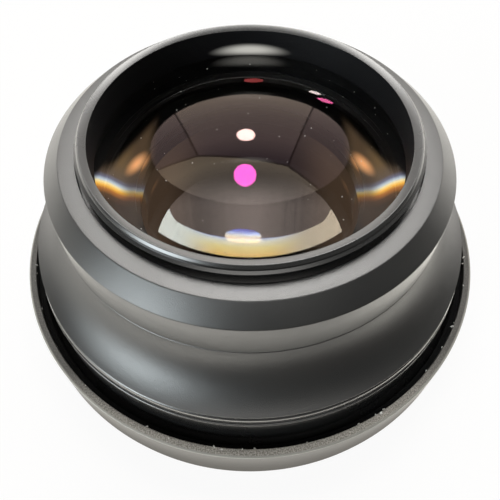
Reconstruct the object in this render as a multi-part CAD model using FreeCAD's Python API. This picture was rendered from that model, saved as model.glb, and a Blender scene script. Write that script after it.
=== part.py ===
import FreeCAD, Part
import math
import os

# Wide-angle conversion lens, standing rear thread up in its slip-on front cap.
# Millimetres. +Z runs up along the optical axis, and z = 0 is the table under the cap.

# Heights of the outer pieces, from the table up
cap_floor = 2.0
cap_height = 12.15
front_ring_height = 14.6
bead_ring_height = 2.1
flare_height = 10.35
band_height = 7.3
bevel_height = 2.65
thread_height = 2.8

# Clearances: glass in its bore, turned pieces in each other, glass on its seat, felt on the grip
glass_clearance = 0.06
turned_clearance = 0.05
seat_clearance = 0.02
felt_clearance = 0.15

# Rear thread ring. Its face is dished: it rises from the opening's edge to the thread's chamfer
thread_radius = 29.0
thread_wall = 2.1
rim_face = 1.25
rim_dish = 0.6
thread_chamfer = 0.7
thread_relief_depth = 0.95
thread_relief_height = 0.7
thread_flange_height = 2.8
nose_height = 1.0

# Rear glass: a crown that bulges both ways, cemented to a flint that is hollow both ways.
# A glass's face is given by its depth, from its edge to its middle
glass_overlap = 1.0
crown_rear_depth = 3.97
cement_depth = 5.38
flint_front_depth = 2.81
crown_edge = 1.0
flint_thickness = 2.0
gasket_width = 1.25
spacer_wall = 2.0
ridge_depth = 0.4
ridge_count = 2

# Rear cell, a tube with a flange at the top and a lip below
cell_wall = 3.25
cell_flange_width = 1.1
cell_flange_height = 3.0
cell_lip_height = 0.8
seal_groove_depth = 1.05
seal_groove_height = 1.4
seal_section = 0.5
seal_drop = 3.3

# Rear collar, the sleeve with the flat annulus, the bevel and the straight band
collar_wall = 2.55
collar_plate = 1.75
collar_recess = 0.25
bevel_width = 2.9
seam_chamfer = 0.15

# Main barrel
mouth_setback = 0.2
mouth_land = 0.6
mouth_chamfer = 0.25
front_seat_rise = 0.35
front_seat_margin = 0.5
retainer_relief = 0.8
retainer_headroom = 0.4
spigot_wall = 2.0
spigot_chamfer = 0.3

# Middle glass, flat to the front and bulging to the rear, in the barrel's waist
middle_step = 5.9
middle_rear_depth = 2.45
middle_edge = 1.55
middle_lip_width = 0.9
middle_lip_height = 1.1
middle_air_gap = 0.4
waist_wall = 1.3
middle_retainer_width = 2.85
middle_retainer_height = 1.9
middle_retainer_relief = 0.7
middle_thread_overlap = 0.3
baffle_thickness = 0.35
baffle_margin = 0.6

# Front glass, a large meniscus with its bulging side to the front, wider than the middle glass
front_step = 14.0
front_depth = 6.06
front_rear_depth = 8.6
front_thickness = 3.0
front_land_width = 5.0
front_gasket_height = 0.3
front_gasket_width = 3.0
front_gasket_margin = 0.6
front_retainer_width = 3.2
front_retainer_height = 2.5

# Front ring with the accessory thread, and the bead ring above it
accessory_shelf = 0.8
accessory_depth = 4.6
rim_chamfer = 0.5
ring_wall = 2.5
ring_edge_chamfer = 0.25
grip_step = 1.15
grip_height = 6.65
bead_setback = 0.2
bead_round = 0.85
bead_groove_depth = 0.25
bead_groove_height = 0.45

# Set screws that lock the front ring to the barrel's spigot
screw_count = 3
screw_radius = 1.0
screw_hole_clearance = 0.05
screw_height = 9.2
screw_recess = 0.15
screw_socket_radius = 0.5
screw_socket_depth = 1.0
socket_sides = 6

# Spanner slots in the retaining rings
slot_width = 1.6
slot_depth = 0.8

# Cap and its felt lining
cap_wall = 1.35
felt_thickness = 0.9
felt_height = 8.4
cap_foot_round = 1.6
cap_lip_round = 0.25
cap_lip_chamfer = 0.15

# Heights that follow from the stack
body_base = cap_floor
ring_top = body_base + front_ring_height
bead_top = ring_top + bead_ring_height
flare_base = bead_top
band_base = flare_base + flare_height
bevel_base = band_base + band_height
shoulder = bevel_base + bevel_height
rim_top = shoulder + thread_height
flange_top = shoulder - collar_plate
cell_top = flange_top - thread_flange_height
neck_top = cell_top - cell_flange_height
nose_base = cell_top + nose_height
spigot_base = body_base + accessory_depth

# Radii of the glasses and of the clear way through them, from the rear thread inwards
opening_radius = thread_radius - thread_wall
rear_glass_radius = opening_radius + glass_overlap
middle_glass_radius = rear_glass_radius - middle_step
middle_thread_bore = middle_glass_radius + glass_clearance + middle_retainer_relief
middle_retainer_radius = middle_thread_bore - turned_clearance
middle_clear_radius = middle_retainer_radius - middle_retainer_width
baffle_opening = middle_clear_radius + baffle_margin
front_glass_radius = middle_glass_radius + front_step
front_clear_radius = front_glass_radius - front_land_width

# Radii that follow from what each piece wraps
cell_bore = rear_glass_radius + glass_clearance
cell_radius = cell_bore + cell_wall
flange_radius = cell_radius + cell_flange_width
barrel_rear_bore = cell_radius + turned_clearance
collar_bore = flange_radius + turned_clearance
band_radius = collar_bore + collar_wall
shoulder_radius = band_radius - bevel_width
relief_radius = thread_radius - thread_relief_depth
recess_radius = thread_radius + collar_recess
front_bore = front_glass_radius + glass_clearance
retainer_bore = front_bore + retainer_relief
spigot_radius = retainer_bore + spigot_wall
spigot_bore = spigot_radius + turned_clearance
accessory_bore = spigot_radius - accessory_shelf
ring_radius = spigot_bore + ring_wall
grip_radius = ring_radius + grip_step
bead_radius = ring_radius - bead_setback
mouth_radius = bead_radius - mouth_setback
felt_radius = grip_radius + felt_clearance
cap_bore = felt_radius + felt_thickness
cap_radius = cap_bore + cap_wall


def sag(curve, radius):
    """Height that a sphere of this curve gains from its vertex out to this radius."""
    return curve - math.sqrt(curve * curve - radius * radius)


def curve_for(depth, radius):
    """Radius of the sphere that gains this depth from its vertex out to this radius."""
    return (depth * depth + radius * radius) / (2 * depth)


# Curves of the glass faces
crown_rear_curve = curve_for(crown_rear_depth, rear_glass_radius)
cement_curve = curve_for(cement_depth, rear_glass_radius)
flint_front_curve = curve_for(flint_front_depth, rear_glass_radius)
middle_rear_curve = curve_for(middle_rear_depth, middle_glass_radius)
front_curve = curve_for(front_depth, front_glass_radius)
front_rear_curve = curve_for(front_rear_depth, front_clear_radius)

# Glass positions. The front and middle glasses are stacked on the barrel's front seat
front_seat = flare_base + front_seat_rise
front_land = front_seat - front_gasket_height - seat_clearance
front_rear_vertex = front_land - front_rear_depth
front_vertex = front_rear_vertex - front_thickness
front_retainer_bore = front_glass_radius + glass_clearance + retainer_relief - front_retainer_width
front_retainer_top = front_vertex + sag(front_curve, front_retainer_bore) - seat_clearance
middle_lip_radius = middle_glass_radius - middle_lip_width
middle_lip_base = front_rear_vertex + sag(front_rear_curve, middle_lip_radius) + middle_air_gap
middle_lip_top = middle_lip_base + middle_lip_height
middle_flat = middle_lip_top + seat_clearance
middle_rim = middle_flat + middle_edge
middle_vertex = middle_rim + middle_rear_depth
middle_retainer_base = middle_vertex - sag(middle_rear_curve, middle_clear_radius) + seat_clearance
waist_top = front_seat + waist_wall
cell_base = waist_top + baffle_thickness
cell_lip_top = cell_base + cell_lip_height

# The rear glass hangs under the thread ring's nose, and the spacer fills what is left below it
crown_vertex = nose_base - seat_clearance + sag(crown_rear_curve, opening_radius)
crown_rim = crown_vertex - crown_rear_depth
cement_rim = crown_rim - crown_edge
cement_vertex = cement_rim - cement_depth
flint_vertex = cement_vertex - flint_thickness
flint_rim = flint_vertex - flint_front_depth
spacer_bore = rear_glass_radius - spacer_wall
spacer_top = flint_rim - seat_clearance


def outline_wire(steps):
    """Closed wire in the XZ plane. A step is (r, z), or (r, z, middle_r, middle_z) to arrive by an arc."""
    edges = []
    for index, step in enumerate(steps):
        start = FreeCAD.Vector(steps[index - 1][0], 0, steps[index - 1][1])
        end = FreeCAD.Vector(step[0], 0, step[1])
        if len(step) == 4:
            middle = FreeCAD.Vector(step[2], 0, step[3])
            edges.append(Part.Arc(start, middle, end).toShape())
        else:
            edges.append(Part.makeLine(start, end))
    return Part.Wire(edges)


def turned(steps):
    """Solid turned about the optical axis from a closed outline."""
    face = Part.Face(outline_wire(steps))
    return face.revolve(FreeCAD.Vector(0, 0, 0), FreeCAD.Vector(0, 0, 1), 360)


def tube(inner, outer, low, high):
    """Plain ring between two radii and two heights."""
    return turned([(inner, low), (outer, low), (outer, high), (inner, high)])


def corner(radius, height, size, way_r, way_z):
    """Middle point of a quarter-round whose square corner is at this radius and height."""
    inset = size * (1 - math.sqrt(0.5))
    return radius + way_r * inset, height + way_z * inset


def spherical(vertex, curve, radius):
    """Step from the axis out to this radius along a sphere. A negative curve falls away outwards."""
    way = math.copysign(1.0, curve)
    end = vertex + way * sag(abs(curve), radius)
    middle = vertex + way * sag(abs(curve), radius / 2)
    return radius, end, radius / 2, middle


def back_along(vertex, curve, radius):
    """Step from this radius back to the axis along the same sphere."""
    _, _, middle_r, middle_z = spherical(vertex, curve, radius)
    return 0.0, vertex, middle_r, middle_z


def spanner_slots(inner, outer, low):
    """Two opposite slots across a retaining ring, for a pin spanner."""
    overshoot = 1.0
    bar = Part.makeBox(2 * (outer + overshoot), slot_width, slot_depth)
    bar.translate(FreeCAD.Vector(-outer - overshoot, -slot_width / 2, low))
    middle = Part.makeCylinder(inner - overshoot, slot_depth, FreeCAD.Vector(0, 0, low))
    return bar.cut(middle)


def cap_shell():
    """Moulded cup: flat floor, rounded foot, and a lip with its outer edge eased."""
    foot = corner(cap_radius, 0, cap_foot_round, -1, 1)
    lip = corner(cap_radius, cap_height, cap_lip_round, -1, -1)
    return turned([
        (0, 0),
        (cap_radius - cap_foot_round, 0),
        (cap_radius, cap_foot_round, *foot),
        (cap_radius, cap_height - cap_lip_round),
        (cap_radius - cap_lip_round, cap_height, *lip),
        (cap_bore + cap_lip_chamfer, cap_height),
        (cap_bore, cap_height - cap_lip_chamfer),
        (cap_bore, cap_floor),
        (0, cap_floor),
    ])


def cap_felt_lining():
    """Felt band glued round the inside of the cup, which holds the grip of the front ring."""
    return tube(felt_radius, cap_bore - seat_clearance, cap_floor, cap_floor + felt_height)


def screw_directions():
    """Unit vectors along the set screws, evenly spread round the ring. The first points to +Y."""
    turns = [2 * math.pi * index / screw_count for index in range(screw_count)]
    return [FreeCAD.Vector(-math.sin(turn), math.cos(turn), 0) for turn in turns]


def radial_rod(radius, start, end, height, way):
    """Round rod that lies along a radius of the lens."""
    return Part.makeCylinder(radius, end - start, way * start + FreeCAD.Vector(0, 0, height), way)


def hexagonal_socket(centre, way):
    """Six-sided prism that starts at the socket's floor and runs out of the screw."""
    side = FreeCAD.Vector(-way.y, way.x, 0)
    up = FreeCAD.Vector(0, 0, 1)
    corners = []
    for index in range(socket_sides + 1):
        turn = 2 * math.pi * index / socket_sides
        corners.append(centre + (side * math.cos(turn) + up * math.sin(turn)) * screw_socket_radius)
    return Part.Face(Part.makePolygon(corners)).extrude(way * 2 * screw_socket_depth)


def front_ring():
    """Ring round the front glass: accessory bore below, shelf for the barrel, and a wider grip."""
    grip_top = body_base + grip_height
    ring = turned([
        (accessory_bore, body_base + rim_chamfer),
        (accessory_bore, spigot_base),
        (spigot_bore, spigot_base),
        (spigot_bore, ring_top),
        (ring_radius - ring_edge_chamfer, ring_top),
        (ring_radius, ring_top - ring_edge_chamfer),
        (ring_radius, grip_top + grip_step),
        (grip_radius, grip_top),
        (grip_radius, body_base + rim_chamfer),
        (grip_radius - rim_chamfer, body_base),
        (accessory_bore + rim_chamfer, body_base),
    ])
    for way in screw_directions():
        hole_radius = screw_radius + screw_hole_clearance
        ring = ring.cut(radial_rod(hole_radius, spigot_radius, grip_radius, body_base + screw_height, way))
    return ring


def front_ring_screws():
    """Set screws with hexagonal sockets, each bearing on the barrel's spigot."""
    height = body_base + screw_height
    outer_end = ring_radius - screw_recess
    screws = []
    for way in screw_directions():
        screw = radial_rod(screw_radius, spigot_radius, outer_end, height, way)
        floor = way * (outer_end - screw_socket_depth) + FreeCAD.Vector(0, 0, height)
        screws.append(screw.cut(hexagonal_socket(floor, way)))
    return Part.makeCompound(screws)


def bead_ring():
    """Narrow polished ring between the front ring and the flare, with a round top edge."""
    top = corner(bead_radius, bead_top, bead_round, -1, -1)
    groove_top = ring_top + bead_groove_height
    return turned([
        (spigot_bore, ring_top),
        (bead_radius - bead_groove_depth, ring_top),
        (bead_radius - bead_groove_depth, groove_top),
        (bead_radius, groove_top + bead_groove_depth),
        (bead_radius, bead_top - bead_round),
        (bead_radius - bead_round, bead_top, *top),
        (spigot_bore, bead_top),
    ])


def front_retaining_ring():
    """Threaded ring that presses on the front glass from below."""
    outer = retainer_bore - turned_clearance
    base = front_retainer_top - front_retainer_height
    ring = tube(front_retainer_bore, outer, base, front_retainer_top)
    return ring.cut(spanner_slots(front_retainer_bore, outer, base))


def front_element():
    """Large meniscus: gently bulging front face, deep hollow rear face with a flat land round it."""
    return turned([
        (0, front_vertex),
        spherical(front_vertex, front_curve, front_glass_radius),
        (front_glass_radius, front_land),
        (front_clear_radius, front_land),
        back_along(front_rear_vertex, front_rear_curve, front_clear_radius),
    ])


def front_gasket():
    """Flat washer between the land of the front glass and its seat."""
    inner = front_clear_radius + front_seat_margin + front_gasket_margin
    return tube(inner, inner + front_gasket_width, front_land + seat_clearance, front_seat)


def flare_steps():
    """Hollow trumpet curve, upright where it leaves the band and wide at the mouth."""
    top = band_base - seam_chamfer
    low = flare_base + mouth_land
    drop = top - low
    spread = mouth_radius - band_radius
    curve = curve_for(spread, drop)
    half_turn = math.asin(drop / curve) / 2
    middle_r = band_radius + curve * (1 - math.cos(half_turn))
    middle_z = top - curve * math.sin(half_turn)
    return [(band_radius, top), (mouth_radius, low, middle_r, middle_z)]


def main_barrel():
    """Body that carries every glass: spigot and front seat below, waist in the middle, neck on top."""
    waist_bore = middle_glass_radius + glass_clearance
    retainer_step = front_retainer_top + retainer_headroom
    return turned([
        (retainer_bore, spigot_base),
        (retainer_bore, retainer_step),
        (front_bore, retainer_step),
        (front_bore, front_seat),
        (front_clear_radius + front_seat_margin, front_seat),
        (middle_lip_radius, middle_lip_base),
        (middle_lip_radius, middle_lip_top),
        (waist_bore, middle_lip_top),
        (waist_bore, middle_rim - middle_thread_overlap),
        (middle_thread_bore, middle_rim - middle_thread_overlap),
        (middle_thread_bore, waist_top),
        (barrel_rear_bore, waist_top),
        (barrel_rear_bore, neck_top),
        (flange_radius, neck_top),
        (flange_radius, band_base),
        (band_radius - seam_chamfer, band_base),
        *flare_steps(),
        (mouth_radius, flare_base + mouth_chamfer),
        (mouth_radius - mouth_chamfer, flare_base),
        (spigot_radius, flare_base),
        (spigot_radius, spigot_base + spigot_chamfer),
        (spigot_radius - spigot_chamfer, spigot_base),
    ])


def middle_element():
    """Small glass, flat to the front and bulging to the rear."""
    return turned([
        (0, middle_flat),
        (middle_glass_radius, middle_flat),
        (middle_glass_radius, middle_rim),
        back_along(middle_vertex, -middle_rear_curve, middle_glass_radius),
    ])


def middle_retaining_ring():
    """Threaded ring that presses the middle glass onto its lip."""
    top = middle_retainer_base + middle_retainer_height
    ring = tube(middle_clear_radius, middle_retainer_radius, middle_retainer_base, top)
    return ring.cut(spanner_slots(middle_clear_radius, middle_retainer_radius, top - slot_depth))


def baffle_washer():
    """Thin black stop clamped between the waist and the rear cell."""
    return tube(baffle_opening, cell_radius, waist_top, waist_top + baffle_thickness)


def rear_cell():
    """Tube for the rear glass: lip below, flange on top, and a groove for the seal."""
    groove_base = neck_top - seal_drop
    groove_top = groove_base + seal_groove_height
    groove_radius = cell_radius - seal_groove_depth
    return turned([
        (spacer_bore, cell_base),
        (spacer_bore, cell_lip_top),
        (cell_bore, cell_lip_top),
        (cell_bore, cell_top),
        (flange_radius, cell_top),
        (flange_radius, neck_top),
        (cell_radius, neck_top),
        (cell_radius, groove_top),
        (groove_radius, groove_top),
        (groove_radius, groove_base),
        (cell_radius, groove_base),
        (cell_radius, cell_base),
    ])


def rear_cell_seal():
    """Round rubber seal in the groove of the rear cell."""
    middle = neck_top - seal_drop + seal_groove_height / 2
    centre = FreeCAD.Vector(0, 0, middle)
    return Part.makeTorus(cell_radius - seal_section, seal_section, centre)


def rear_spacer():
    """Sleeve under the flint. Ridges in its bore stop light that strays along the wall."""
    steps = [(spacer_bore, cell_lip_top)]
    pitch = (spacer_top - cell_lip_top) / ridge_count
    for index in range(ridge_count):
        low = cell_lip_top + index * pitch
        steps.append((spacer_bore + ridge_depth, low + pitch / 2))
        steps.append((spacer_bore, low + pitch))
    outer = rear_glass_radius
    return turned(steps + [(outer, spacer_top), (outer, cell_lip_top)])


def rear_flint():
    """Thin front half of the rear glass, hollow on both faces."""
    return turned([
        (0, flint_vertex),
        spherical(flint_vertex, -flint_front_curve, rear_glass_radius),
        (rear_glass_radius, cement_rim),
        back_along(cement_vertex, cement_curve, rear_glass_radius),
    ])


def rear_crown():
    """Thick rear half of the rear glass, bulging on both faces."""
    return turned([
        (0, cement_vertex),
        spherical(cement_vertex, cement_curve, rear_glass_radius),
        (rear_glass_radius, crown_rim),
        back_along(crown_vertex, -crown_rear_curve, rear_glass_radius),
    ])


def rear_gasket():
    """Flat-sided rubber ring round the rim of the crown."""
    outer = cell_bore + turned_clearance + gasket_width
    return tube(cell_bore + turned_clearance, outer, cell_top, nose_base - seat_clearance)


def rear_thread_ring():
    """Ring with the mounting thread outside and the rear opening inside, clamped by its flange."""
    nose_bore = cell_bore + gasket_width + 2 * turned_clearance
    relief_top = shoulder + thread_relief_height
    return turned([
        (opening_radius, nose_base),
        (opening_radius, rim_top - rim_dish),
        (opening_radius + rim_face, rim_top),
        (thread_radius, rim_top - thread_chamfer),
        (thread_radius, relief_top),
        (relief_radius, relief_top),
        (relief_radius, flange_top),
        (flange_radius, flange_top),
        (flange_radius, cell_top),
        (nose_bore, cell_top),
        (nose_bore, nose_base),
    ])


def rear_collar():
    """Sleeve round the rear: recess round the thread, flat annulus, bevel, and the straight band."""
    return turned([
        (recess_radius, flange_top),
        (recess_radius, shoulder),
        (shoulder_radius, shoulder),
        (band_radius, bevel_base),
        (band_radius, band_base + seam_chamfer),
        (band_radius - seam_chamfer, band_base),
        (collar_bore, band_base),
        (collar_bore, flange_top),
    ])


pieces = {
    "cap_shell": cap_shell,
    "cap_felt_lining": cap_felt_lining,
    "front_ring": front_ring,
    "front_ring_screws": front_ring_screws,
    "bead_ring": bead_ring,
    "front_retaining_ring": front_retaining_ring,
    "front_element": front_element,
    "front_gasket": front_gasket,
    "main_barrel": main_barrel,
    "middle_element": middle_element,
    "middle_retaining_ring": middle_retaining_ring,
    "baffle_washer": baffle_washer,
    "rear_cell": rear_cell,
    "rear_cell_seal": rear_cell_seal,
    "rear_spacer": rear_spacer,
    "rear_flint": rear_flint,
    "rear_crown": rear_crown,
    "rear_gasket": rear_gasket,
    "rear_thread_ring": rear_thread_ring,
    "rear_collar": rear_collar,
}

os.makedirs("parts", exist_ok=True)
for name, make in pieces.items():
    shape = make()
    shape.exportStep(f"parts/{name}.step")
    print(name, "solids", len(shape.Solids), "volume", round(shape.Volume, 1), "valid", shape.isValid())
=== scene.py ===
# %% [markdown]
# # A wide-angle conversion lens, standing in its front cap
# The lens stands rear thread up. From the top down there is a thread ring round the rear glass, a bead-blasted
# collar, a barrel that flares like a trumpet, a polished bead ring, and a moulded cap in which it all rests.
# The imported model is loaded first, because every piece made here sits where that model says.

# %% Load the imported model
import math

import bmesh
import bpy
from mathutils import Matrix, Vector


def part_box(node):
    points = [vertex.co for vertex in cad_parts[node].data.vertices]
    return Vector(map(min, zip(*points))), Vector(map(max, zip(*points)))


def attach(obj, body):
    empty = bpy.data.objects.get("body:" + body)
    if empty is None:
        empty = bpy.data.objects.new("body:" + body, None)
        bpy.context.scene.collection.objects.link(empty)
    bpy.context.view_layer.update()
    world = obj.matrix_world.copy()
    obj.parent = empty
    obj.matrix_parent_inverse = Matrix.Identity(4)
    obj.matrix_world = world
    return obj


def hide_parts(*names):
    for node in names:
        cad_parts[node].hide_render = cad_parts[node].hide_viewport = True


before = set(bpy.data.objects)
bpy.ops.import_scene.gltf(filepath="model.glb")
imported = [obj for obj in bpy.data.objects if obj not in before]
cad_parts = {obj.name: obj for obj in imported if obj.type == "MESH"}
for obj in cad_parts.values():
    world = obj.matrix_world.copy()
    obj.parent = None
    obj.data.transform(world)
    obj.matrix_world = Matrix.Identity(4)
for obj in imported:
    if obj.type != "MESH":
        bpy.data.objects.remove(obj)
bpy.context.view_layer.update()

MM = 0.001

# %% [markdown]
# ## The camera
# The photograph was taken from close by, looking down on the rear glass. A close camera makes the rear of the lens
# look large and the cap small, so distance and focal length matter as much as the angle. They were found from
# the ellipses that the round edges make, and the small shift stands for a frame that was cropped off centre.

# %% Place the camera
OPENING_HEIGHT = 41.2 * MM
CAMERA_BACK = 63.77 * MM
CAMERA_RISE = 58.14 * MM
CAMERA_PITCH_DOWN = math.radians(51.01)
FRAME_PIXELS = 500
FOCAL_PIXELS = 511.3
AXIS_ROW = 200


def new_object(name, data):
    """Object in the scene that shows this data."""
    made = bpy.data.objects.new(name, data)
    bpy.context.scene.collection.objects.link(made)
    return made


camera_data = bpy.data.cameras.new("camera")
camera_data.sensor_width = 36
camera_data.lens = FOCAL_PIXELS / FRAME_PIXELS * camera_data.sensor_width
camera_data.shift_y = (AXIS_ROW - FRAME_PIXELS / 2) / FRAME_PIXELS
camera_data.clip_start = 0.002
camera = new_object("camera", camera_data)
camera.location = (0, -CAMERA_BACK, OPENING_HEIGHT + CAMERA_RISE)
camera.rotation_euler = (math.pi / 2 - CAMERA_PITCH_DOWN, 0, 0)
bpy.context.scene.camera = camera
print("camera at mm", [round(value / MM, 1) for value in camera.location])

# %% [markdown]
# ## Small helpers for shader trees
# A shader tree is arithmetic on a picture. Written node by node it gets long, so a few helpers keep it readable.
# The main ones add a math node, turn a range of one value into a soft mask, and mix two colours by such a mask.
# The mix node takes no factor above 1, so a stronger light is made by scaling its colour as a vector.

# %% Make the helpers


def set_inputs(node, **values):
    """Give inputs of a node their values. An underscore in a name stands for a space."""
    for label, value in values.items():
        node.inputs[label.replace("_", " ")].default_value = value
    return node


def add_node(tree, kind, **values):
    """Add one shader node and set its inputs."""
    return set_inputs(tree.nodes.new("ShaderNode" + kind), **values)


def feed(tree, socket, value):
    """Give a node's input a number, a colour or another node's output."""
    if isinstance(value, bpy.types.NodeSocket):
        tree.links.new(value, socket)
    else:
        socket.default_value = value


def operate(tree, kind, operation, *values):
    """Add one node of arithmetic, on numbers or on vectors."""
    node = add_node(tree, kind)
    node.operation = operation
    for socket, value in zip(node.inputs, values):
        feed(tree, socket, value)
    return node.outputs


def calc(tree, operation, *values):
    """Add one math node and return its output."""
    return operate(tree, "Math", operation, *values)["Value"]


def along(tree, vector, way):
    """How far a vector reaches along one direction."""
    return operate(tree, "VectorMath", "DOT_PRODUCT", vector, way)["Value"]


def product(tree, first, *others):
    """Several values multiplied with each other."""
    for value in others:
        first = calc(tree, "MULTIPLY", first, value)
    return first


def hypot(tree, across, up):
    """Distance that two values make at a right angle."""
    return calc(tree, "SQRT", calc(tree, "ADD", *[calc(tree, "POWER", side, 2.0) for side in (across, up)]))


def ramp(tree, value, zero_at, one_at):
    """Soft mask that is 0 at one value and 1 at another."""
    low, high = sorted([(zero_at, 0.0), (one_at, 1.0)])
    node = add_node(tree, "MapRange", From_Min=low[0], From_Max=high[0], To_Min=low[1], To_Max=high[1])
    node.interpolation_type = "SMOOTHSTEP"
    feed(tree, node.inputs["Value"], value)
    return node.outputs["Result"]


def colours(tree, value, stops):
    """Colours along a value, from stops of (place, colour)."""
    node = add_node(tree, "ValToRGB")
    scale = node.color_ramp
    while len(scale.elements) < len(stops):
        scale.elements.new(0.5)
    for element, (place, colour) in zip(scale.elements, stops):
        element.position = place
        element.color = (*colour, 1)
    feed(tree, node.inputs["Fac"], value)
    return node.outputs["Color"]


def blend(tree, mask, first, second, how="MIX"):
    """Mix two colours by a mask."""
    node = add_node(tree, "Mix")
    node.data_type = "RGBA"
    node.blend_type = how
    node.clamp_result = False
    for place, value in ((0, mask), (6, first), (7, second)):
        feed(tree, node.inputs[place], (*value, 1) if isinstance(value, tuple) else value)
    return node.outputs[2]


def strong(tree, colour, amount):
    """A colour times a strength, which may be more than 1."""
    node = add_node(tree, "VectorMath")
    node.operation = "SCALE"
    feed(tree, node.inputs[0], colour)
    feed(tree, node.inputs["Scale"], amount)
    return node.outputs["Vector"]


def place_of(tree, kind="Object"):
    """Place of each point on its piece (or a world's direction), and its x, y and z."""
    place = add_node(tree, "TexCoord").outputs[kind]
    parts = add_node(tree, "SeparateXYZ")
    tree.links.new(place, parts.inputs["Vector"])
    return place, *parts.outputs


def wire(tree, *pairs):
    """Link outputs, each to its input."""
    for source, target in pairs:
        tree.links.new(source, target)


def add_bump(tree, shader, height, depth):
    """Let a height tilt the surface, as a relief of this depth in millimetres would."""
    bump = add_node(tree, "Bump", Distance=depth * MM)
    wire(tree, (height, bump.inputs["Height"]), (bump.outputs["Normal"], shader.inputs["Normal"]))

# %% [markdown]
# ## The room
# Dark metal and glass show little colour of their own. What we see on them is the room, so the room is made with
# care. It could be built of walls and lamps, but a world shader is lighter: it paints each direction of the sky.
# Behind the lens lie a far wall and a ceiling, seen through an oval opening, with the dark lines where they
# meet. Each line is a plane through the eye, so one dot product finds on which side of it a direction falls.

# %% Directions of the room's edges
OVAL_CENTRE = 0.625
OVAL_HALF_WIDTH = 0.415
OVAL_HALF_DEPTH = 0.26
CORNER_LEFT = Vector((-0.227, 0.611, 0.758))
CORNER_RIGHT = Vector((0.169, 0.560, 0.811))
CEILING_LEFT = Vector((-0.382, 0.559, 0.736))
CEILING_RIGHT = Vector((0.291, 0.464, 0.836))


def direction(azimuth, elevation):
    """Unit vector from two angles in degrees. Azimuth 0 is behind the lens, seen from the camera."""
    azimuth, elevation = math.radians(azimuth), math.radians(elevation)
    flat = math.cos(elevation)
    return Vector((math.sin(azimuth) * flat, math.cos(azimuth) * flat, math.sin(elevation)))


def plane_between(first, second, inside):
    """Unit normal of the plane through two directions, turned towards a third."""
    normal = first.cross(second).normalized()
    return tuple(normal if normal.dot(inside) > 0 else -normal)


OVERHEAD = Vector((0, 0.2, 1))
EDGES = {
    "wall_top": plane_between(CORNER_LEFT, CORNER_RIGHT, OVERHEAD),
    "ceiling_left": plane_between(CORNER_LEFT, CEILING_LEFT, OVERHEAD),
    "ceiling_right": plane_between(CORNER_RIGHT, CEILING_RIGHT, OVERHEAD),
    "corner_left": plane_between(CORNER_LEFT, Vector((0, 0, 1)), Vector((-1, 0, 0))),
    "corner_right": plane_between(CORNER_RIGHT, Vector((0, 0, 1)), Vector((1, 0, 0))),
}
print("edges", {name: [round(value, 2) for value in way] for name, way in EDGES.items()})

# %% [markdown]
# ## The wall, the ceiling and the lamps as seen in the glass
# The far wall is brown and darkens towards the ceiling. A lamp is a disc round a direction: two dot products say
# how far across and how far up a direction lies from the disc's middle, and a soft mask closes its rim.

# %% Paint the room's parts
EDGE_SOFT = 0.003
LINE_STRENGTH = 0.8


def wall_and_ceiling(tree, way, height):
    """Colour of the oval part of the room, before its strength."""
    past = {name: along(tree, way, edge) for name, edge in EDGES.items()}
    ceiling = calc(tree, "MINIMUM", past["wall_top"], past["ceiling_left"])
    ceiling = calc(tree, "MINIMUM", ceiling, past["ceiling_right"])
    side = calc(tree, "MAXIMUM", past["corner_left"], past["corner_right"])
    wall_colour = colours(tree, height, [
        (0.46, (0.86, 0.68, 0.56)), (0.60, (0.60, 0.45, 0.41)), (0.72, (0.52, 0.37, 0.36)),
        (0.80, (0.26, 0.18, 0.20)),
    ])
    side_colour = colours(tree, height, [
        (0.46, (0.74, 0.56, 0.50)), (0.62, (0.46, 0.33, 0.32)), (0.78, (0.30, 0.21, 0.21)),
    ])
    ceiling_colour = colours(tree, height, [
        (0.72, (0.62, 0.48, 0.36)), (0.80, (0.92, 0.74, 0.55)), (0.86, (0.62, 0.52, 0.44)),
        (0.93, (0.50, 0.46, 0.42)),
    ])
    walls = blend(tree, ramp(tree, side, -EDGE_SOFT, EDGE_SOFT), wall_colour, side_colour)
    both = blend(tree, ramp(tree, ceiling, -EDGE_SOFT, EDGE_SOFT), walls, ceiling_colour)
    crease = ramp(tree, calc(tree, "ABSOLUTE", ceiling), 0.009, 0.003)
    upright = ramp(tree, calc(tree, "ABSOLUTE", side), 0.007, 0.002)
    upright = product(tree, upright, ramp(tree, ceiling, 0.0, -0.01))
    lines = product(tree, calc(tree, "MAXIMUM", crease, upright), LINE_STRENGTH)
    return blend(tree, lines, both, (0.10, 0.06, 0.06))


def disc_mask(tree, way, centre, half_width, half_height, softness=0.06):
    """Mask of a lamp round a direction, and how high in the lamp each direction lies."""
    sideways = Vector((centre.y, -centre.x, 0)).normalized()
    upwards = centre.cross(-sideways).normalized()
    across = calc(tree, "DIVIDE", along(tree, way, sideways), half_width)
    up = calc(tree, "DIVIDE", along(tree, way, upwards), half_height)
    disc = ramp(tree, hypot(tree, across, up), 1.0 + softness, 1.0 - softness)
    return product(tree, disc, calc(tree, "GREATER_THAN", along(tree, way, centre), 0.0)), up

# %% [markdown]
# ## The room as the metal sees it
# Metal blurs what it mirrors, so a few large soft lights are enough: a bright backdrop and a ceiling light behind
# the lens, a cool window at the left, and a weak light on the camera's side, where the room is darker.

# %% Lights for the metal
ROOM_DARK = (0.12, 0.12, 0.115)
WALL_LIGHT = (0.75, 0.72, 0.69)
BACKDROP_LIGHT = (2.2, 2.12, 2.0)
SOFT_LIGHTS = {
    "near": (direction(180.0, 62.0), 0.40, 0.20, 0.5, (1.7, 1.65, 1.58)),
    "ceiling": (direction(0.0, 62.0), 0.38, 0.21, 0.45, (8.0, 7.85, 7.6)),
    "window": (direction(-131.0, 15.0), 0.27, 0.32, 0.5, (6.2, 6.8, 7.0)),
}


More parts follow.
